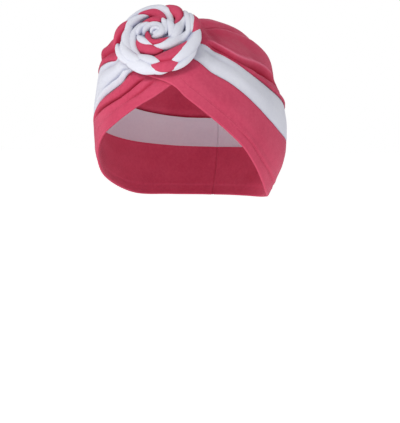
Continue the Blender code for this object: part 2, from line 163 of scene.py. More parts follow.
LEFT_STRIPE_FOLDS = (
    (((0.16, 0.30), (0.40, 0.36)), 0.20, 0.22, 0.0009, 0.14, 0.24, 0.40, 0.70),
    (((0.14, 0.72), (0.36, 0.66)), 0.10, 0.10, -0.0007, 0.12, 0.17, 0.22, 0.42),
)
LEFT_BAND_FOLDS = (
    (((0.12, 0.42), (0.40, 0.50), (0.70, 0.55)), 0.16, 0.20, 0.0009, 0.12, 0.24, 0.42, 0.80),
    (((0.44, 0.20), (0.53, 0.219), (0.60, 0.190), (0.66, 0.215), (0.80, 0.21)),
     0.014, 0.020, -0.0007, 0.40, 0.50, 0.68, 0.86),
    (((0.44, 0.28), (0.60, 0.27), (0.80, 0.28)), 0.04, 0.06, 0.0007, 0.40, 0.50, 0.68, 0.86),
)

# ---------------------------------------------------------------- rosette
# Skin of the rosette from its eye to its underside: radius and height above the seat, in metres.
ROSETTE_SKIN = (
    (0.0000, 0.0255), (0.0040, 0.0250), (0.0080, 0.0234), (0.0125, 0.0242), (0.0170, 0.0226),
    (0.0215, 0.0198), (0.0260, 0.0206), (0.0300, 0.0202), (0.0336, 0.0180), (0.0360, 0.0146),
    (0.0366, 0.0110), (0.0354, 0.0075), (0.0325, 0.0050),
)
# Lobes of the braid. Each point is (clock in degrees, millimetres along the skin from the eye, half width
# in millimetres), and the first number of a lobe lifts it over its neighbours, in millimetres.
LOBES = {
    "rosette_strand_white_a": (
        (0.0, (284, 37, 1.0), (309, 36, 3.1), (327, 35, 3.9), (345, 32.5, 3.7), (360, 28.8, 3.3), (376, 23.2, 2.9),
         (413, 15, 1.2)),
        (0.6, (270, 28.5, 1.8), (294, 28.8, 3.3), (312, 27.2, 2.8), (330, 24.8, 0.5)),
        (0.0, (26, 39, 1.4), (47, 31, 2.5), (64, 28, 2.7), (81, 26.2, 2.4), (100, 24.2, 1.0)),
        (0.5, (42, 28.4, 0.6), (55, 23.5, 3.2), (76, 19.4, 4.2), (99, 17.8, 3.8), (122, 17.5, 1.3)),
        (0.2, (262, 18.8, 1.3), (284, 18.4, 3.0), (300, 16, 3.0), (320, 12.2, 1.0)),
        (0.0, (262, 18.5, 1.4), (233, 15.8, 2.9), (203, 15.2, 2.7), (180, 15.6, 0.8)),
        (0.7, (104, 41, 1.4), (120, 42.6, 3.2), (134, 43.6, 3.6), (147, 44.4, 2.6), (158, 45.2, 0.8)),
        (0.0, (226, 39, 2.6), (208, 38.6, 5.2), (190, 39, 5.9), (175, 42, 3.8), (158, 45, 0.9)),
        (0.2, (262, 29.5, 1.0), (242, 31, 3.6), (224, 31.8, 4.3), (207, 32, 3.8), (190, 32.6, 1.1)),
        (0.3, (255, 10.2, 1.3), (290, 10.4, 2.6), (330, 9.2, 2.8), (385, 6.4, 2.7), (435, 5.8, 3.0), (490, 5.6, 3.0),
         (535, 6.2, 2.6), (580, 7.4, 1.2)),
        (-1.0, (60, 2.4, 1.6), (150, 2.0, 2.6), (250, 3.4, 1.4)),
        (-0.3, (196, 26, 1.4), (225, 24.4, 3.4), (250, 23.4, 3.6), (275, 23, 3.4), (295, 23, 2.8), (312, 24, 1.0)),
    ),
    "rosette_strand_white_b": (
        (-0.2, (35, 40, 1.6), (50, 35, 2.2), (67, 31.2, 2.2), (86, 29, 0.8)),
        (0.3, (4, 17, 0.5), (22, 11, 2.4), (60, 8.2, 2.7), (105, 8.0, 1.0)),
        (0.1, (19, 17.4, 0.8), (48, 13.4, 2.6), (81, 12.4, 3.0), (116, 13, 1.3)),
        (0.1, (186, 15.6, 0.8), (158, 17.6, 3.0), (134, 19.2, 4.2), (110, 21.4, 4.6), (90, 24.0, 3.6), (72, 26.4, 1.0)),
        (0.1, (214, 26.6, 1.6), (193, 28, 3.7), (177, 30.2, 3.6), (164, 33.6, 0.9)),
        (0.6, (70, 38.2, 1.0), (88, 36.8, 4.0), (106, 35.8, 4.9), (124, 35.2, 4.9), (140, 35.2, 3.7), (152, 35.0, 0.9)),
        (0.0, (258, 37, 0.9), (243, 37.6, 3.4), (227, 38, 3.8), (212, 37.8, 2.0)),
        (0.0, (302, 28.2, 1.3), (279, 27, 3.2), (260, 26.8, 3.7), (241, 26.6, 3.7), (216, 27.6, 1.7)),
        (-0.4, (186, 43, 1.0), (173, 45.2, 2.2), (164, 46.2, 2.2), (153, 45.2, 0.8)),
        (0.2, (240, 6.0, 0.8), (290, 4.2, 1.8), (370, 2.2, 1.6), (500, 3.2, 0.8)),
    ),
    "rosette_strand_pink": (
        (0.2, (355, 39, 1.9), (374, 33.0, 4.9), (389, 27.0, 4.0), (418, 17.5, 0.5)),
        (0.2, (38, 41, 1.4), (54, 39, 4.2), (71, 35.6, 4.2), (92, 32.8, 0.6)),
        (0.0, (188, 36.0, 0.7), (173, 38.0, 3.4), (158, 39.6, 4.8), (146, 40.4, 3.9), (134, 40.2, 0.8)),
        (0.8, (300, 30, 1.6), (287, 33.6, 4.9), (273, 36.8, 5.2), (253, 40.6, 0.8)),
        (0.0, (314, 32, 0.6), (327, 29.2, 2.3), (341, 26.2, 3.7), (355, 22.8, 4.1), (372, 14, 1.5)),
        (0.0, (305, 23.8, 0.5), (319, 18.0, 2.5), (340, 15.4, 3.7), (364, 13.2, 2.2)),
        (0.2, (250, 20.2, 1.2), (221, 20.4, 4.3), (195, 20.4, 4.7), (174, 21, 3.6), (153, 21.4, 0.8)),
        (0.4, (180, 24.6, 1.0), (160, 27.0, 4.7), (138, 28.2, 5.0), (118, 29.8, 3.2), (100, 31.4, 0.8)),
        (0.1, (280, 8.6, 1.2), (228, 8.8, 2.5), (185, 11.8, 2.4), (150, 12.4, 2.4), (118, 14, 0.6)),
    ),
}

# ---------------------------------------------------------------- seams, hems and thread
PUCKER = 0.00009
SEAM_PUCKER_PITCH = 0.0034
HEM_PUCKER_PITCH = 0.0031
HEM_DEPTH = 0.0100
HEM_RISE = 0.00032
HEM_ROWS = (0.0083, 0.0099)
STITCH_PITCH = 0.0027
STITCH_LENGTH = 0.0020
THREAD_HALF_WIDTH = 0.00019
THREAD_HALF_HEIGHT = 0.00013
THREAD_ARCH = 0.00009
THREAD_SINK = 0.00004
THREAD_DIP = 0.00010
THREAD_TONE = -0.12
EDGE_ROUNDING = 0.0012
BACK_ROUNDING = 0.0014
SEAM_SINK = 0.0009
BACK_SINK = 0.0009

# ---------------------------------------------------------------- knit, painted shade and painted highlight
WALE_PITCH = 0.00070
COURSE_PITCH = 0.00058
# A crease this deep gets the full painted crease shade.
FULL_CREASE = 0.0024
# A fold this narrow, as a share of its panel's width, gets a painted highlight along its crest, with these half widths.
SHARP_FOLD = 0.016
CREST_HIGHLIGHT_WIDTHS = (0.0038, 0.0046)

# ---------------------------------------------------------------- egg and seat
MIDDLE = np.array([0.0, 0.0, -INNER_RISE])
EGG = np.array([INNER_HALF_WIDTH, INNER_HALF_LENGTH, INNER_RISE])
LOWER_EGG = np.array([INNER_HALF_WIDTH, INNER_HALF_LENGTH, INNER_DROP])
_a = math.radians(ROSETTE_AZIMUTH)
_e = math.radians(ROSETTE_ELEVATION)
SEAT_NORMAL = np.array([math.cos(_e) * math.sin(_a), -math.cos(_e) * math.cos(_a), math.sin(_e)])
SEAT_RIGHT = np.array([math.cos(_a), math.sin(_a), 0.0])
SEAT_UP = np.cross(SEAT_NORMAL, SEAT_RIGHT)
SEAT_DISTANCE = float(np.linalg.norm(EGG * SEAT_NORMAL))
SEAT_CENTRE = EGG**2 * SEAT_NORMAL / SEAT_DISTANCE + ROSETTE_UP * SEAT_UP + ROSETTE_SIDE * SEAT_RIGHT


# ---------------------------------------------------------------- shape functions
def smooth(x):
    """0 below 0, 1 above 1, and a soft step between."""
    x = np.clip(x, 0.0, 1.0)
    return x * x * (3.0 - 2.0 * x)


def unit(vectors):
    return vectors / np.linalg.norm(vectors, axis=-1, keepdims=True)


def curve(rows, share):
    """Reads a smooth curve through evenly spaced rows, at shares of its length from 0 to 1."""
    rows = np.asarray(rows, float)
    if rows.ndim == 1:
        rows = rows[:, None]
    last = len(rows) - 1
    place_at = np.clip(np.asarray(share, float), 0.0, 1.0) * last
    first = np.minimum(place_at.astype(int), last - 1)
    t = (place_at - first)[:, None]
    padded = np.vstack([2 * rows[0] - rows[1], rows, 2 * rows[-1] - rows[-2]])
    p0, p1, p2, p3 = (padded[first + k] for k in range(4))
    return 0.5 * (
        2 * p1 + (p2 - p0) * t + (2 * p0 - 5 * p1 + 4 * p2 - p3) * t**2 + (3 * p1 - p0 - 3 * p2 + p3) * t**3
    )


def direction(azimuth, height):
    """Direction from the egg's middle to a point on it."""
    azimuth = np.radians(azimuth)
    level = np.sqrt(1.0 - height**2)
    return unit(np.stack([np.sin(azimuth) * level, -np.cos(azimuth) * level, height], axis=-1) * EGG)


def egg_radius(directions):
    upper = 1.0 / np.linalg.norm(directions / EGG, axis=-1)
    lower = 1.0 / np.linalg.norm(directions / LOWER_EGG, axis=-1)
    return np.where(directions[..., 2] > 0.0, upper, lower)


def seat_place(directions):
    """Distance from the rosette's middle on its seat plane, and the slant of the direction to that plane."""
    facing = directions @ SEAT_NORMAL
    slant = np.maximum(facing, 0.2)
    offset = directions * (SEAT_DISTANCE / slant)[..., None] - SEAT_CENTRE
    away = np.where(facing > 0.2, 0.0, SEAT_DISTANCE / 0.2)
    return np.hypot(offset @ SEAT_RIGHT, offset @ SEAT_UP) + away, slant


def dome(radius):
    return COIL_DOME * np.clip(1.0 - (radius / (ROSETTE_RADIUS - 0.5 * BRAID_WIDTH)) ** 2, 0.0, 1.0)


def tent(directions):
    """1 where the cloth is pulled out to the rosette's seat, fading to 0 around it, then the slant and the
    distance to which the cloth is pulled."""
    radius, slant = seat_place(directions)
    fade = smooth((radius - TENT_SHARE * ROSETTE_RADIUS) / (TENT_REACH_SHARE * ROSETTE_RADIUS))
    return 1.0 - fade, slant, SEAT_DISTANCE + dome(radius + 0.35 * BRAID_WIDTH)


def swell(directions):
    total = np.zeros(directions.shape[:-1])
    for azimuth, height, side, rise, share in SWELLS:
        centre = direction(np.array([azimuth]), np.array([height]))[0]
        level = unit(np.array([-centre[1], centre[0], 0.0]))
        upward = np.cross(centre, level)
        x = np.degrees(np.arctan2(directions @ level, directions @ centre)) / side
        y = np.degrees(np.arctan2(directions @ upward, directions @ centre)) / rise
        total += SWELL * share * np.exp(-(x**2) - y**2)
    return total


def clear_of_rosette(directions):
    """0 under the rosette and 1 clear of it."""
    radius, _ = seat_place(directions)
    return smooth((radius - 0.92 * ROSETTE_RADIUS) / (0.3 * ROSETTE_RADIUS))


def place(directions, lift):
    """Points on the worn shape in these directions, lifted off it."""
    weight, slant, seat = tent(directions)
    egg = egg_radius(directions) + swell(directions) * (1.0 - weight)
    radius = egg + weight * (seat / slant - egg) + lift * (1.0 + weight * (1.0 / slant - 1.0))
    return MIDDLE + directions * radius[..., None]


def folds(rows, share, across):
    """Sum of a table's folds, each a ridge or a crease whose two sides differ."""
    total = np.zeros_like(across)
    for path, low_width, high_width, height, begin, full, fading, end in rows:
        path = np.array(path)
        x = across - np.interp(share, path[:, 0], path[:, 1])
        x = np.where(x < 0, x / low_width, x / high_width)
        run = smooth((share - begin) / (full - begin)) * (1.0 - smooth((share - fading) / (end - fading)))
        total += height * run * np.exp(-(x**2))
    return total


def wander(points, scale, seed, octaves=2):
    """Soft uneven noise at points, about -1 to 1."""
    flat = (np.asarray(points) * scale).reshape(-1, 3)
    values = np.zeros(len(flat))
    for octave in range(octaves):
        step = 2.0**octave
        shift = Vector((seed * 7.3, seed * 3.1 + octave * 5.7, seed * 1.9))
        values += np.array([noise.noise(Vector(p) * step + shift) for p in flat]) / step
    return values.reshape(np.asarray(points).shape[:-1])


def edge_shares(count, widths, roll):
    """Places across a panel for each row, closer together within a roll's width of both edges."""
    near = np.array([0.0, 0.06, 0.25, 0.55, 1.0])
    width = (roll / widths)[:, None]
    first = near[None, :] * width
    last = 1.0 - near[None, ::-1] * width
    inside = np.linspace(0.0, 1.0, count + 1)[1:-1]
    middle = width + (1.0 - 2.0 * width) * inside[None, :]
    return np.concatenate([first, middle, last], axis=1)


def rounded(distance, radius):
    """Height of a quarter round of this radius, from 0 at the edge to 1."""
    x = np.clip(distance / radius, 0.0, 1.0)
    return np.sqrt(np.clip(1.0 - (1.0 - x) ** 2, 0.0, 1.0))


def wall_mesh(outer, inner):
    """A closed wall between two grids of points."""
    rows, columns = outer.shape[:2]
    points = np.concatenate([outer.reshape(-1, 3), inner.reshape(-1, 3)])
    below = rows * columns
    index = np.arange(below).reshape(rows, columns)
    a, b, c, d = index[:-1, :-1], index[1:, :-1], index[1:, 1:], index[:-1, 1:]
    top = np.stack([a, b, c, d], axis=-1).reshape(-1, 4)
    border = list(index[:, 0]) + list(index[-1, 1:]) + list(index[-2::-1, -1]) + list(index[0, -2:0:-1])
    here = np.array(border)
    after = np.roll(here, -1)
    rim = np.stack([after, here, below + here, below + after], axis=-1)
    return points, np.concatenate([top, below + top[:, ::-1], rim])


# ---------------------------------------------------------------- making pieces
def add_piece(name, points, faces, cloth, material, slot, nodes=()):
    """A mesh piece that rides on the root body. For each point, cloth holds the metres along and across the
    cloth and a tone, above 0 for painted shade in a crease, seam or gap and below 0 for the paler crest colour, a
    painted highlight."""
    mesh = bpy.data.meshes.new(name)
    mesh.from_pydata(points.tolist(), [], faces)
    mesh.update()
    mesh.shade_smooth()
    attribute = mesh.attributes.new("cloth", "FLOAT_VECTOR", "POINT")
    attribute.data.foreach_set("vector", np.asarray(cloth, np.float32).ravel())
    mesh.materials.append(material)
    piece = bpy.data.objects.new(name, mesh)
    bpy.context.scene.collection.objects.link(piece)
    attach(piece, "root")
    if nodes:
        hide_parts(*nodes)
    return piece


def outward(points, faces):
    """Turns the faces round if the closed mesh is inside out."""
    faces = np.asarray(faces)
    a, b, c = points[faces[:, 0]], points[faces[:, 1]], points[faces[:, 2]]
    d = points[faces[:, -1]]
    volume = (a * np.cross(b, c)).sum() + (a * np.cross(c, d)).sum()
    return faces if volume > 0 else faces[:, ::-1]


def creases(rows, share, across):
    """How deep the creases of a table are at each point, from 0 to 1: the strength of their painted shade."""
    deep = folds([row for row in rows if row[3] < 0.0], share, across)
    return np.clip(-deep / FULL_CREASE, 0.0, 1.0)


def crests(rows, share, across):
    """How sharp the ridges of a table are at each point, from 0 to 1: the strength of the painted highlight on their
    crests.
    """
    total = np.zeros_like(across)
    for row in rows:
        if row[3] > 0.0 and min(row[1], row[2]) <= SHARP_FOLD:
            total = np.maximum(total, folds([(row[0], *CREST_HIGHLIGHT_WIDTHS, 1.0, *row[4:])], share, across))
    return total


def add_wall(name, grid, lift, let_down, drawn_up, share, across, widths, length, material, slot, tone):
    """A panel of cloth. let_down is how far its outer face sinks, and drawn_up how far its inner face rises."""
    outer = place(grid, lift + WALL - let_down)
    inner = place(grid, lift + drawn_up)
    points, faces = wall_mesh(outer, inner)
    # tone paints shade into creases and seams and a highlight onto crests, on the outer face only.
    cloth = np.stack([share * length, across * widths[:, None], np.clip(tone, -1.0, 1.0)], axis=-1).reshape(-1, 3)
    cloth = np.concatenate([cloth, cloth * (1.0, 1.0, 0.0)])
    node_name = name.replace("_cloth", "")
    return add_piece(name, points, outward(points, faces).tolist(), cloth, material, slot, (node_name,))


def math_node(tree, operation, a, b=None, c=None):
    node = tree.nodes.new("ShaderNodeMath")
    node.operation = operation
    for socket, value in zip(node.inputs, (a, b, c)):
        if value is None:
            continue
        if isinstance(value, (int, float)):
            socket.default_value = value
        else:
            tree.links.new(value, socket)
    return node.outputs[0]


def noise_texture(tree, where, scale, detail, roughness=0.5):
    node = tree.nodes.new("ShaderNodeTexNoise")
    node.inputs["Scale"].default_value = scale
    node.inputs["Detail"].default_value = detail
    node.inputs["Roughness"].default_value = roughness
    tree.links.new(where, node.inputs["Vector"])
    return node.outputs["Fac"]


def toned(tree, amount, colour, tone):
    """Mixes a linked colour with a fixed tone."""
    mix = tree.nodes.new("ShaderNodeMix")
    mix.data_type = "RGBA"
    amount_input, colour_input, tone_input = mix.inputs[0], mix.inputs[6], mix.inputs[7]
    colour_output = mix.outputs[2]
    tone_input.default_value = (*tone, 1.0)
    tree.links.new(amount, amount_input)
    tree.links.new(colour, colour_input)
    return colour_output


def bump(tree, height, strength, distance):
    node = tree.nodes.new("ShaderNodeBump")
    node.inputs["Strength"].default_value = strength
    node.inputs["Distance"].default_value = distance
    tree.links.new(height, node.inputs["Height"])
    return node


def jersey(name, light, deep, bright, crease_shade, crest_highlight, fuzz, sheen):
    """A fine jersey knit: rows of small V stitches, soft mottling, painted shade in creases, a paler painted
    highlight on sharp fold crests, and a little fuzz."""
    material = bpy.data.materials.new(name)
    material.use_nodes = True
    tree = material.node_tree
    nodes, links = tree.nodes, tree.links
    shader = nodes["Principled BSDF"]
    cloth = nodes.new("ShaderNodeAttribute")
    cloth.attribute_name = "cloth"
    split = nodes.new("ShaderNodeSeparateXYZ")
    links.new(cloth.outputs["Vector"], split.inputs[0])
    along, across = split.outputs["X"], split.outputs["Y"]
    leg = math_node(tree, "PINGPONG", math_node(tree, "DIVIDE", across, WALE_PITCH), 0.5)
    rise = math_node(tree, "MULTIPLY", leg, 1.3)
    step = math_node(tree, "ADD", math_node(tree, "DIVIDE", along, COURSE_PITCH), rise)
    stitch = math_node(tree, "SINE", math_node(tree, "MULTIPLY", step, 2.0 * math.pi))
    groove = math_node(tree, "SINE", math_node(tree, "MULTIPLY", leg, 2.0 * math.pi))
    knit = math_node(tree, "MULTIPLY_ADD", stitch, 0.35, math_node(tree, "MULTIPLY", groove, 0.5))

    where = nodes.new("ShaderNodeTexCoord").outputs["Object"]
    broad = noise_texture(tree, where, 26.0, 3.0)
    fine = noise_texture(tree, where, 420.0, 4.0, 0.6)
    mottle = math_node(tree, "MULTIPLY_ADD", fine, 0.45, math_node(tree, "MULTIPLY", broad, 0.55))
    tone = math_node(tree, "MULTIPLY_ADD", knit, 0.10, mottle)
    ramp = nodes.new("ShaderNodeValToRGB")
    ramp.color_ramp.elements[0].position = 0.28
    ramp.color_ramp.elements[0].color = (*deep, 1.0)
    ramp.color_ramp.elements[1].position = 0.72
    ramp.color_ramp.elements[1].color = (*bright, 1.0)
    middle = ramp.color_ramp.elements.new(0.5)
    middle.color = (*light, 1.0)
    links.new(tone, ramp.inputs["Fac"])
    # Painted shade: a tone above 0 mixes in the darker crease colour. Painted highlight: a tone below 0 mixes in the
    # paler crest colour.
    crease_shaded = toned(tree, split.outputs["Z"], ramp.outputs["Color"], crease_shade)
    crest_highlighted = toned(tree, math_node(tree, "MULTIPLY", split.outputs["Z"], -1.0), crease_shaded, crest_highlight)
    links.new(crest_highlighted, shader.inputs["Base Color"])
    links.new(math_node(tree, "MULTIPLY_ADD", fine, 0.12, 0.80), shader.inputs["Roughness"])
    shader.inputs["Specular IOR Level"].default_value = 0.22
    shader.inputs["Sheen Weight"].default_value = sheen
    shader.inputs["Sheen Tint"].default_value = (*fuzz, 1.0)
    shader.inputs["Sheen Roughness"].default_value = 0.26
    knit_bump = bump(tree, knit, 0.55, 0.00012)
    soft_bump = bump(tree, mottle, 0.35, 0.0006)
    links.new(knit_bump.outputs["Normal"], soft_bump.inputs["Normal"])
    links.new(soft_bump.outputs["Normal"], shader.inputs["Normal"])
    return material


# light, deep and bright are the knit's own mottled tones; the crease colour is painted shade and the crest colour a
# painted highlight.
PINK = jersey(
    "coral_pink_jersey", light=(0.590, 0.060, 0.126), deep=(0.515, 0.041, 0.099), bright=(0.655, 0.083, 0.157),
    crease_shade=(0.420, 0.008, 0.042), crest_highlight=(0.80, 0.200, 0.310), fuzz=(1.0, 0.45, 0.60), sheen=0.32,
)
WHITE = jersey(
    "cool_white_jersey", light=(0.715, 0.724, 0.805), deep=(0.670, 0.680, 0.776), bright=(0.758, 0.768, 0.838),
    crease_shade=(0.410, 0.425, 0.570), crest_highlight=(0.85, 0.86, 0.92), fuzz=(1.0, 1.0, 1.0), sheen=0.12,
)


# ---------------------------------------------------------------- bands, stripes and crown
def edge_directions(rows, share):
    """Directions to an edge of a panel at shares of its length."""
    points = curve(rows, share)
    return direction(points[:, 0], points[:, 1])


def between(lower, upper, v):
    """Directions across a panel, from its lower to its upper edge."""
    return unit(lower[:, None] * (1.0 - v[..., None]) + upper[:, None] * v[..., None])


def along_line(line, run, where):
    return np.stack([np.interp(where, run, line[:, k]) for k in range(3)], axis=-1)


def hem_stitches(name, outer, v, widths, begin, material, slot):
    """Two fine rows of thread along a hem: short stitches that dip into the cloth at both ends. outer holds the
    points of the band's outer face, v their places across it, and begin is a share of the hem's length."""

    def across_face(distance):
        rows = zip(outer, v, distance / widths)
        return np.array([[np.interp(share, places, row[:, k]) for k in range(3)] for row, places, share in rows])

    around, stations = 6, 6
    angle = 2.0 * math.pi * np.arange(around) / around
    arch = np.sin(np.linspace(0.0, math.pi, stations))[:, None]
    rise = THREAD_ARCH * arch - THREAD_SINK - THREAD_DIP * (arch < 0.2)
    index = np.arange(stations * around).reshape(stations, around)
    after = np.roll(index, -1, axis=1)
    low, high = index[0], index[-1]
    sides = np.stack([index[:-1], after[:-1], after[1:], index[1:]], axis=-1).reshape(-1, 4)
    ends = [low[[0, 1, 2, 3]], low[[0, 3, 4, 5]], high[[3, 2, 1, 0]], high[[5, 4, 3, 0]]]
    stitch_faces = np.concatenate([sides, ends])
    points, faces, cloth = [], [], []
    for distance in HEM_ROWS:
        line, inside = across_face(distance), across_face(distance + 0.001)
        run = np.concatenate([[0.0], np.cumsum(np.linalg.norm(np.diff(line, axis=0), axis=1))])
        for start in np.arange(begin * run[-1], 0.985 * run[-1], STITCH_PITCH):
            where = start + np.linspace(0.0, STITCH_LENGTH, stations)
            centre = along_line(line, run, where)
            side = unit(along_line(inside, run, where) - centre)
            heading = unit(centre[-1] - centre[0])
            up = unit(np.cross(side, heading))
            up = up * np.sign((up * (centre - MIDDLE)).sum(axis=-1, keepdims=True))
            centre = centre + up * rise
            wide = side[:, None] * (THREAD_HALF_WIDTH * np.cos(angle))[None, :, None]
            tall = up[:, None] * (THREAD_HALF_HEIGHT * np.sin(angle))[None, :, None]
            faces.append(len(points) * stations * around + stitch_faces)
            points.append((centre[:, None] + (wide + tall)).reshape(-1, 3))
            thread = np.broadcast_arrays(where[:, None] * 3.0, 0.0003 * angle, THREAD_TONE)
            cloth.append(np.stack(thread, axis=-1).reshape(-1, 3))
    points = np.concatenate(points)
    faces = outward(points, np.concatenate(faces)).tolist()
    return add_piece(name, points, faces, np.concatenate(cloth), material, slot)


def band(name, lower_rows, upper_rows, rows, along, count, material, slot, free_low, flat, **extra):
    """A panel between two edges. free_low says that its lower edge is a folded hem and not a seam. extra may
    hold a lift of its own, and how far the upper edge sinks at its seam."""
    share = np.linspace(0.0, 1.0, along + 1)
    lower, upper = edge_directions(lower_rows, share), edge_directions(upper_rows, share)
    low_points, high_points = place(lower, np.zeros(along + 1)), place(upper, np.zeros(along + 1))
    widths = np.linalg.norm(high_points - low_points, axis=1)
    roll = 0.0014
    v = edge_shares(count, widths, roll)
    grid = between(lower, upper, v)
    s = np.repeat(share[:, None], v.shape[1], axis=1)
    open_cloth = clear_of_rosette(grid)
    length = float(np.linalg.norm(np.diff(high_points, axis=0), axis=1).sum())
    near = smooth((seat_place(grid)[0] - 0.84 * ROSETTE_RADIUS) / (0.16 * ROSETTE_RADIUS))
    lift = folds(rows, s, v) * near
    away = np.stack([s * length * 0.35, v * widths[:, None], np.zeros_like(s)], axis=-1)
    lift += 0.00035 * wander(away, 70.0, extra["seed"]) * open_cloth
    if "lift" in extra:
        lift = lift + extra["lift"](grid, s, v, open_cloth)
    distance_low = v * widths[:, None]
    distance_high = (1.0 - v) * widths[:, None]
    back = (1.0 - s) * length
    if free_low:
        hem = HEM_RISE * smooth((HEM_DEPTH - distance_low) / 0.0012) * smooth(distance_low / 0.001)
        pucker = PUCKER * np.sin(s * length / HEM_PUCKER_PITCH * 2.0 * math.pi)
        pucker = pucker * np.exp(-(((distance_low - 0.0094) / 0.0016) ** 2))
        lift = lift + (hem + pucker) * open_cloth
        low_edge = drawn_up = 0.5 * WALL * (1.0 - rounded(distance_low, 0.5 * WALL))
        from_seam = distance_high
    else:
        low_edge, drawn_up = 0.0007 * (1.0 - rounded(distance_low, EDGE_ROUNDING)), 0.0
        from_seam = np.minimum(distance_high, distance_low)
    pucker = PUCKER * np.sin(s * length / SEAM_PUCKER_PITCH * 2.0 * math.pi + 1.0)
    lift = lift + pucker * np.exp(-((from_seam / 0.0026) ** 2))
    high_edge = extra.get("sink", SEAM_SINK) * (1.0 - rounded(distance_high, EDGE_ROUNDING))
    let_down = low_edge + high_edge + BACK_SINK * (1.0 - rounded(back, BACK_ROUNDING))
    # Painted shade: darker colour in the creases and in thin lines along the seams, where shade falls.
    deep = 0.9 * creases(rows, s, v) * near + 0.75 * np.exp(-((distance_high / 0.0010) ** 2))
    if not free_low:
        deep += 0.45 * np.exp(-((distance_low / 0.0010) ** 2))
    piece = add_wall(name, grid, lift, let_down, drawn_up, s, v, widths, length, material, slot, deep)
    if free_low:
        outer = place(grid, lift + WALL - let_down)
        stitches_name = name.replace("cloth", "hem_stitches")
        hem_stitches(stitches_name, outer, v, widths, extra["stitched_from"], material, slot)


def left_lift(grid, s, v, open_cloth):
    """The left band lies one layer up, over the right one, as far as they cross."""
    over = 1.0 - smooth((s - CROSSING_END) / CROSSING_FADE)
    return LAYER * np.maximum(over, tent(grid)[0] * (1.0 - open_cloth))


def stripe_lift(grid, s, v, open_cloth):
    """A stripe lies one layer up under the rosette and bulges a little where it is clear of it."""
    return LAYER * (1.0 - open_cloth) + 0.0009 * 4.0 * v * (1.0 - v) * open_cloth


band(
    "left_front_band_cloth", LEFT_RIM, LEFT_SEAM, LEFT_BAND_FOLDS, 260, 44, PINK, "pink_jersey", True,
    (0.052, 0.285), seed=1, stitched_from=0.02, lift=left_lift, rests_on=["right_front_band_cloth"], area=0.0120,
)
band(
    "right_front_band_cloth", RIGHT_RIM, RIGHT_SEAM, RIGHT_BAND_FOLDS, 260, 56, PINK, "pink_jersey", True,
    (0.050, 0.283), seed=2, stitched_from=0.12, rests_on=[], area=0.0115,
)
band(
    "left_white_stripe_cloth", LEFT_SEAM, LEFT_TOP, LEFT_STRIPE_FOLDS, 260, 30, WHITE, "white_jersey", False,
    (0.031, 0.273), seed=3, lift=stripe_lift, rests_on=["left_front_band_cloth"], area=0.0075, sink=0.0003,
)
band(
    "right_white_stripe_cloth", RIGHT_SEAM, RIGHT_TOP, RIGHT_STRIPE_FOLDS, 260, 36, WHITE, "white_jersey", False,
    (0.038, 0.270), seed=4, lift=stripe_lift, rests_on=["right_front_band_cloth"], area=0.0087, sink=0.0003,
)


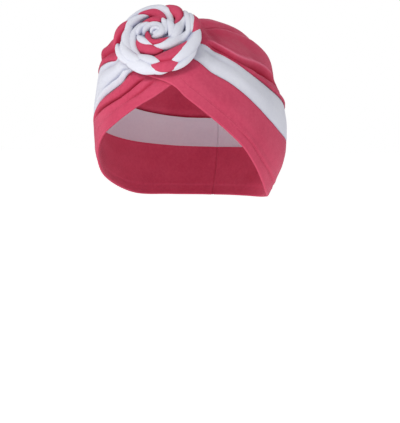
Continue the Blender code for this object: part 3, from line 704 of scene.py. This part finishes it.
def crown():
    """The gathered crown, from the upper edge of the left stripe over the top to that of the right one."""
    along, count, roll = 150, 300, 0.0016
    share = np.linspace(0.0, 1.0, along + 1)
    left, right = edge_directions(LEFT_TOP, share), edge_directions(RIGHT_TOP, share)
    angle = np.radians(curve(CROWN_MIDDLE, share)[:, 0])
    middle = unit(np.stack([np.zeros_like(angle), -np.cos(angle), np.sin(angle)], axis=1) * EGG)
    nearness = 0.5 * ((left * middle).sum(1) + (right * middle).sum(1))
    pull = (1.0 + nearness)[:, None] * middle - 0.5 * (left + right)
    widths = 2.2 * np.linalg.norm(place(middle, 0 * share) - place(left, 0 * share), axis=1)
    # Its edges reach over the stripes, furthest on the right beside the rosette.
    fade = smooth(share / 0.10) * (1.0 - smooth((share - 0.85) / 0.14)) / widths
    over_left = 0.0014 * fade
    over_right = (0.0008 + 0.0026 * np.exp(-(((share - 0.27) / 0.075) ** 2))) * fade
    base = edge_shares(count, widths, roll)
    v = base * (1.0 + over_left + over_right)[:, None] - over_left[:, None]
    w = v[..., None]
    grid = unit((1.0 - w) ** 2 * left[:, None] + 2.0 * w * (1.0 - w) * pull[:, None] + w**2 * right[:, None])
    s = np.repeat(share[:, None], v.shape[1], axis=1)
    open_cloth = clear_of_rosette(grid)
    length = 0.20
    distance = np.minimum(base, 1.0 - base) * widths[:, None]
    fold = folds(CROWN_FOLDS, s, v)
    for middle_s, middle_v, wide_s, wide_v, height in PUFFS:
        fold += height * np.exp(-(((s - middle_s) / wide_s) ** 2) - ((v - middle_v) / wide_v) ** 2)
    # Creases fade out close to the left edge, which stays a smooth line.
    edge_rise = 1.0 - 0.85 * np.exp(-((distance / 0.0045) ** 2)) * (base < 0.5)
    fold = np.where(fold < 0.0, fold * edge_rise, fold)
    # A soft roll follows each edge, broader on the left away from the rosette.
    puff_left = 0.0014 + 0.0008 * smooth((s - 0.30) / 0.14) * (1.0 - smooth((s - 0.60) / 0.30))
    puff_right = 0.0018 + 0.0004 * np.exp(-(((s - 0.30) / 0.10) ** 2)) - 0.0010 * smooth((s - 0.42) / 0.10)
    broad = 0.0024 * smooth((s - 0.34) / 0.14) * (base < 0.5)
    puff = np.where(base < 0.5, puff_left, puff_right)
    puff = puff * np.exp(-(((distance - 0.0020 - broad) / (0.0026 + broad)) ** 2))
    puff *= smooth((s - 0.06) / 0.10) * (1.0 - smooth((s - 0.84) / 0.14))
    away = np.stack([s * length * 0.4, v * widths[:, None], np.zeros_like(s)], axis=-1)
    sag = 0.0026 * np.exp(-(((s - 0.48) / 0.20) ** 2)) * smooth(base / 0.05) * (1.0 - smooth((base - 0.80) / 0.12))
    ripple = 0.0005 * wander(away, 55.0, 5) + 0.0002 * wander(away, 160.0, 6, 1) - sag
    # At the edges the inner face is drawn up, so that the crown clears the stripes beneath it.
    over = 0.0024 * np.exp(-((distance / 0.0040) ** 2)) * smooth((s - 0.02) / 0.05) * open_cloth
    hidden = np.minimum(fold, 0.0) * np.exp(-((distance / 0.0040) ** 2)) * open_cloth
    lift = LAYER * (1.0 - open_cloth) + (fold + puff + ripple) * open_cloth
    # Painted shade: the cloth is coloured a little darker in the broad hollow between the first two ridges, where shade
    # falls.
    hollow_shade = 0.36 * np.exp(-(((v - 0.170) / 0.075) ** 2))
    hollow_shade = hollow_shade * smooth((s - 0.10) / 0.10) * (1.0 - smooth((s - 0.44) / 0.14))
    half = 0.5 * WALL * (1.0 - rounded(distance, roll))
    back = BACK_SINK * (1.0 - rounded((1.0 - s) * length, BACK_ROUNDING))
    # The tone paints shade into creases and the hollow and a highlight onto the crests of sharp folds.
    tone = (creases(CROWN_FOLDS, s, v) + hollow_shade - 0.75 * crests(CROWN_FOLDS, s, v)) * open_cloth
    piece = add_wall(
        "crown_cloth", grid, lift, half + back, half + over - puff * open_cloth - hidden, s, v, widths, length,
        PINK, "pink_jersey", tone,
    )


crown()


# ---------------------------------------------------------------- rosette
MILLIMETRE = 0.001
LOBE_WIDENING = 1.13
LOBE_LOWEST = 0.0017
LOBE_TALLEST = 0.0054
LOBE_TUCK = 0.0022
SKIN_STEPS = np.linspace(0.0, 1.0, 400)
SKIN_POINTS = curve(ROSETTE_SKIN, SKIN_STEPS)
SKIN_LENGTH = np.concatenate([[0.0], np.cumsum(np.hypot(*np.diff(SKIN_POINTS, axis=0).T))])


def skin(distance):
    """Radius and height of the rosette's skin at a distance along it from the eye, with its normal."""
    point = np.stack([np.interp(distance, SKIN_LENGTH, SKIN_POINTS[:, k]) for k in (0, 1)], axis=-1)
    ahead = np.stack([np.interp(distance + 0.0012, SKIN_LENGTH, SKIN_POINTS[:, k]) for k in (0, 1)], axis=-1)
    behind = np.stack([np.interp(distance - 0.0012, SKIN_LENGTH, SKIN_POINTS[:, k]) for k in (0, 1)], axis=-1)
    slope = unit(ahead - behind)
    return point, np.stack([-slope[..., 1], slope[..., 0]], axis=-1)


def on_rosette(clock, radius_height):
    """Offset from the rosette's middle for a clock angle with radius and height. The outline reaches out a
    little further round 292 degrees."""
    outer = smooth((radius_height[..., 0] - 0.020) / 0.014)
    reach = 1.0 + 0.090 * np.clip(np.cos(clock - math.radians(292.0)), 0.0, 1.0) * outer
    radius_height = radius_height * np.stack([reach, np.ones_like(reach)], axis=-1)
    away = np.sin(clock)[..., None] * SEAT_RIGHT + np.cos(clock)[..., None] * SEAT_UP
    return away * radius_height[..., :1] + SEAT_NORMAL * radius_height[..., 1:]


def lobe_mesh(rows, lift, seed):
    """A plump leaf of cloth along a path on the rosette, thick in the middle and tucked in at its ends. Its
    faces have four corners, and those of its caps repeat one."""
    rows = np.array(rows, float)
    stations, around = 10 * (len(rows) - 1) + 1, 24
    u = np.linspace(0.0, 1.0, stations)
    path = curve(rows, u)
    clock, distance = np.radians(path[:, 0]), MILLIMETRE * path[:, 1]
    half = MILLIMETRE * np.maximum(path[:, 2], 0.3)
    point, normal = skin(distance)
    tall = np.clip(0.78 * half + 0.0012, LOBE_LOWEST, LOBE_TALLEST)
    tuck = LOBE_TUCK * (1.0 - np.sin(math.pi * np.clip(u, 0.0, 1.0)) ** 0.6)
    centre = on_rosette(clock, point - normal * (tall + tuck - MILLIMETRE * lift)[:, None])
    up = unit(on_rosette(clock, normal))
    heading = unit(np.gradient(centre, axis=0))
    side = unit(np.cross(heading, up))
    up = np.cross(side, heading)
    angle = 2.0 * math.pi * np.arange(around) / around
    c, s = np.cos(angle), np.sin(angle)
    wide = np.sign(c) * np.abs(c) ** 0.85
    high = np.sign(s) * np.abs(s) ** 0.95
    close = np.sqrt(np.clip(1.0 - (2.0 * u - 1.0) ** 10, 0.02, 1.0))
    ring = np.stack(np.broadcast_arrays(u[:, None] * 1.2, 2.1 * c, 2.1 * s), axis=-1)
    gather = 0.030 + 0.06 * (1.0 - smooth(np.minimum(u, 1.0 - u) / 0.35))[:, None]
    crimp = 1.0 + 0.06 * wander(ring, 1.0, seed) + gather * wander(ring * (0.8, 3.2, 3.2), 1.0, seed + 50, 1)
    crimp -= 0.030 * np.clip(wander(ring * (7.0, 0.9, 0.9), 1.0, seed + 90, 1), 0.0, 1.0)
    depth = np.where(high < 0.0, 1.25, 1.0)
    # Painted shade: the lower sides of each lobe and its tucked-in ends take the crease colour, where neighbouring
    # lobes meet.
    side_shade = np.clip((0.80 - high) / 0.66, 0.0, 0.90)
    end_shade = 0.75 * (1.0 - smooth(np.minimum(u, 1.0 - u) / 0.10))[:, None]
    points = (
        MIDDLE
        + SEAT_CENTRE
        + centre[:, None]
        + side[:, None] * (LOBE_WIDENING * half * close)[:, None, None] * (wide * crimp)[..., None]
        + up[:, None] * (tall * close)[:, None, None] * (high * depth * crimp)[..., None]
    )
    index = np.arange(stations * around).reshape(stations, around)
    after = np.roll(index, -1, axis=1)
    faces = np.stack([index[:-1], after[:-1], after[1:], index[1:]], axis=-1).reshape(-1, 4).tolist()
    run = np.concatenate([[0.0], np.cumsum(np.linalg.norm(np.diff(centre, axis=0), axis=1))])
    deep = np.maximum(side_shade, end_shade)
    cloth = np.stack(np.broadcast_arrays(run[:, None], 0.7 * half[:, None] * (angle - math.pi), deep), axis=-1)
    points = points.reshape(-1, 3)
    caps = [points[:around].mean(axis=0), points[-around:].mean(axis=0)]
    cap_cloth = [cloth[0].mean(axis=0), cloth[-1].mean(axis=0)]
    first, last = len(points), len(points) + 1
    end = (stations - 1) * around
    for j in range(around):
        k = (j + 1) % around
        faces.append([first, k, j, first])
        faces.append([last, end + j, end + k, last])
    points = np.concatenate([points, caps])
    return points, faces, np.concatenate([cloth.reshape(-1, 3), cap_cloth])


def join_meshes(parts):
    """One mesh of several closed ones, each turned outward, with the repeated corner of a triangle left out."""
    points, faces, cloth, total = [], [], [], 0
    for part_points, part_faces, part_cloth in parts:
        for face in outward(part_points, part_faces).tolist():
            distinct = [face[0]] + [v for n, v in enumerate(face[1:], 1) if v != face[n - 1] and v != face[0]]
            faces.append([total + v for v in distinct])
        points.append(part_points)
        cloth.append(part_cloth)
        total += len(part_points)
    return np.concatenate(points), faces, np.concatenate(cloth)


def core_mesh():
    """The turns of the braid under its visible lobes: a ringed cushion let in below the skin."""
    # Painted shade: the whole core takes the crease colour at a tone of 0.6, as the shade between the lobes above it.
    steps, around, below_skin, tone = 60, 120, 0.0055, 0.6
    distance = np.linspace(0.0, SKIN_LENGTH[-1], steps)
    point, normal = skin(distance)
    under = point - normal * below_skin
    under[:, 0] = np.maximum(under[:, 0], 0.0)
    clock = np.linspace(0.0, 2.0 * math.pi, around, endpoint=False)
    clocks, _ = np.meshgrid(clock, distance, indexing="ij")
    grid = on_rosette(clocks, np.broadcast_to(under, (around, steps, 2)))
    points = (MIDDLE + SEAT_CENTRE + grid).reshape(-1, 3)
    index = np.arange(around * steps).reshape(around, steps)
    after = np.roll(index, -1, axis=0)
    faces = np.stack([index[:, :-1], after[:, :-1], after[:, 1:], index[:, 1:]], axis=-1).reshape(-1, 4).tolist()
    base = len(points)
    points = np.concatenate([points, [MIDDLE + SEAT_CENTRE + SEAT_NORMAL * 0.004]])
    for j in range(around):
        k = (j + 1) % around
        faces.append([base, index[j, -1], index[k, -1], base])
    cloth = np.stack(np.broadcast_arrays(clocks * 0.03, distance, tone), axis=-1).reshape(-1, 3)
    return points, faces, np.concatenate([cloth, [[0.0, 0.0, tone]]])


def add_padded(name, parts, material, slot, nodes=()):
    """A stuffed piece made of closed meshes."""
    piece = add_piece(name, *join_meshes(parts), material, slot, nodes)


seed = 20
for node_name, lobes in LOBES.items():
    parts = []
    for lift_mm, *rows in lobes:
        parts.append(lobe_mesh(rows, lift_mm, seed))
        seed += 1
    material, slot = (PINK, "pink_jersey") if node_name.endswith("pink") else (WHITE, "white_jersey")
    add_padded(node_name + "_cloth", parts, material, slot, (node_name,))
add_padded("rosette_core_cloth", [core_mesh()], WHITE, "white_jersey")


# ---------------------------------------------------------------- stage, light and camera
def plain(name, colour, roughness, glow):
    material = bpy.data.materials.new(name)
    material.use_nodes = True
    shader = material.node_tree.nodes["Principled BSDF"]
    shader.inputs["Base Color"].default_value = (*colour, 1.0)
    shader.inputs["Roughness"].default_value = roughness
    shader.inputs["Emission Color"].default_value = (1.0, 1.0, 1.0, 1.0)
    shader.inputs["Emission Strength"].default_value = glow
    return material


FLOOR_REACH = 6.0
FLOOR_HEIGHT = -0.42
corners = [(x * FLOOR_REACH, y * FLOOR_REACH, 0.0) for x, y in ((-1, -1), (1, -1), (1, 1), (-1, 1))]
floor_mesh = bpy.data.meshes.new("floor")
floor_mesh.from_pydata(corners, [], [(0, 1, 2, 3)])
floor_mesh.materials.append(plain("pale_floor", (0.90, 0.90, 0.90), roughness=0.9, glow=0.52))
floor = bpy.data.objects.new("floor", floor_mesh)
floor.location = (0.0, 0.0, FLOOR_HEIGHT)
bpy.context.scene.collection.objects.link(floor)

# The surroundings light the object softly, and the camera sees them as plain white.
SURROUNDINGS_LIGHT = 0.55
world = bpy.context.scene.world or bpy.data.worlds.new("studio")
bpy.context.scene.world = world
world.use_nodes = True
nodes, links = world.node_tree.nodes, world.node_tree.links
lighting = nodes.get("Background") or nodes.new("ShaderNodeBackground")
seen = nodes.new("ShaderNodeBackground")
for shader, strength in ((lighting, SURROUNDINGS_LIGHT), (seen, 1.0)):
    shader.inputs["Color"].default_value = (1.0, 1.0, 1.0, 1.0)
    shader.inputs["Strength"].default_value = strength
choose = nodes.new("ShaderNodeMixShader")
ray = nodes.new("ShaderNodeLightPath")
output = nodes.get("World Output") or nodes.new("ShaderNodeOutputWorld")
links.new(ray.outputs["Is Camera Ray"], choose.inputs["Fac"])
links.new(lighting.outputs[0], choose.inputs[1])
links.new(seen.outputs[0], choose.inputs[2])
links.new(choose.outputs[0], output.inputs["Surface"])


def area_light(name, location, target, size, power):
    data = bpy.data.lights.new(name, "AREA")
    data.shape = "DISK"
    data.size = size
    data.energy = power
    lamp = bpy.data.objects.new(name, data)
    lamp.location = location
    lamp.rotation_euler = (Vector(target) - Vector(location)).to_track_quat("-Z", "Y").to_euler()
    bpy.context.scene.collection.objects.link(lamp)


area_light("key", (-0.54, -1.66, 0.80), target=(0.0, 0.0, -0.07), size=0.45, power=13.0)

# The view is from the front and a little to the left side. The shifts are in pixels of the photograph.
VIEW_AZIMUTH = math.radians(15.0)
VIEW_ELEVATION = math.radians(2.0)
VIEW_DISTANCE = 1.6
PHOTO_PIXELS = 423.0
camera_data = bpy.data.cameras.new("camera")
camera_data.lens = 160.2
camera_data.sensor_width = 36.0
camera_data.shift_x = 10.0 / PHOTO_PIXELS
camera_data.shift_y = -86.5 / PHOTO_PIXELS
camera = bpy.data.objects.new("camera", camera_data)
level = math.cos(VIEW_ELEVATION)
toward = Vector((math.sin(VIEW_AZIMUTH) * level, -math.cos(VIEW_AZIMUTH) * level, math.sin(VIEW_ELEVATION)))
camera.location = Vector(MIDDLE.tolist()) + VIEW_DISTANCE * toward
camera.rotation_euler = toward.to_track_quat("Z", "Y").to_euler()
bpy.context.scene.collection.objects.link(camera)
bpy.context.scene.camera = camera
bpy.context.scene.view_settings.view_transform = "Standard"
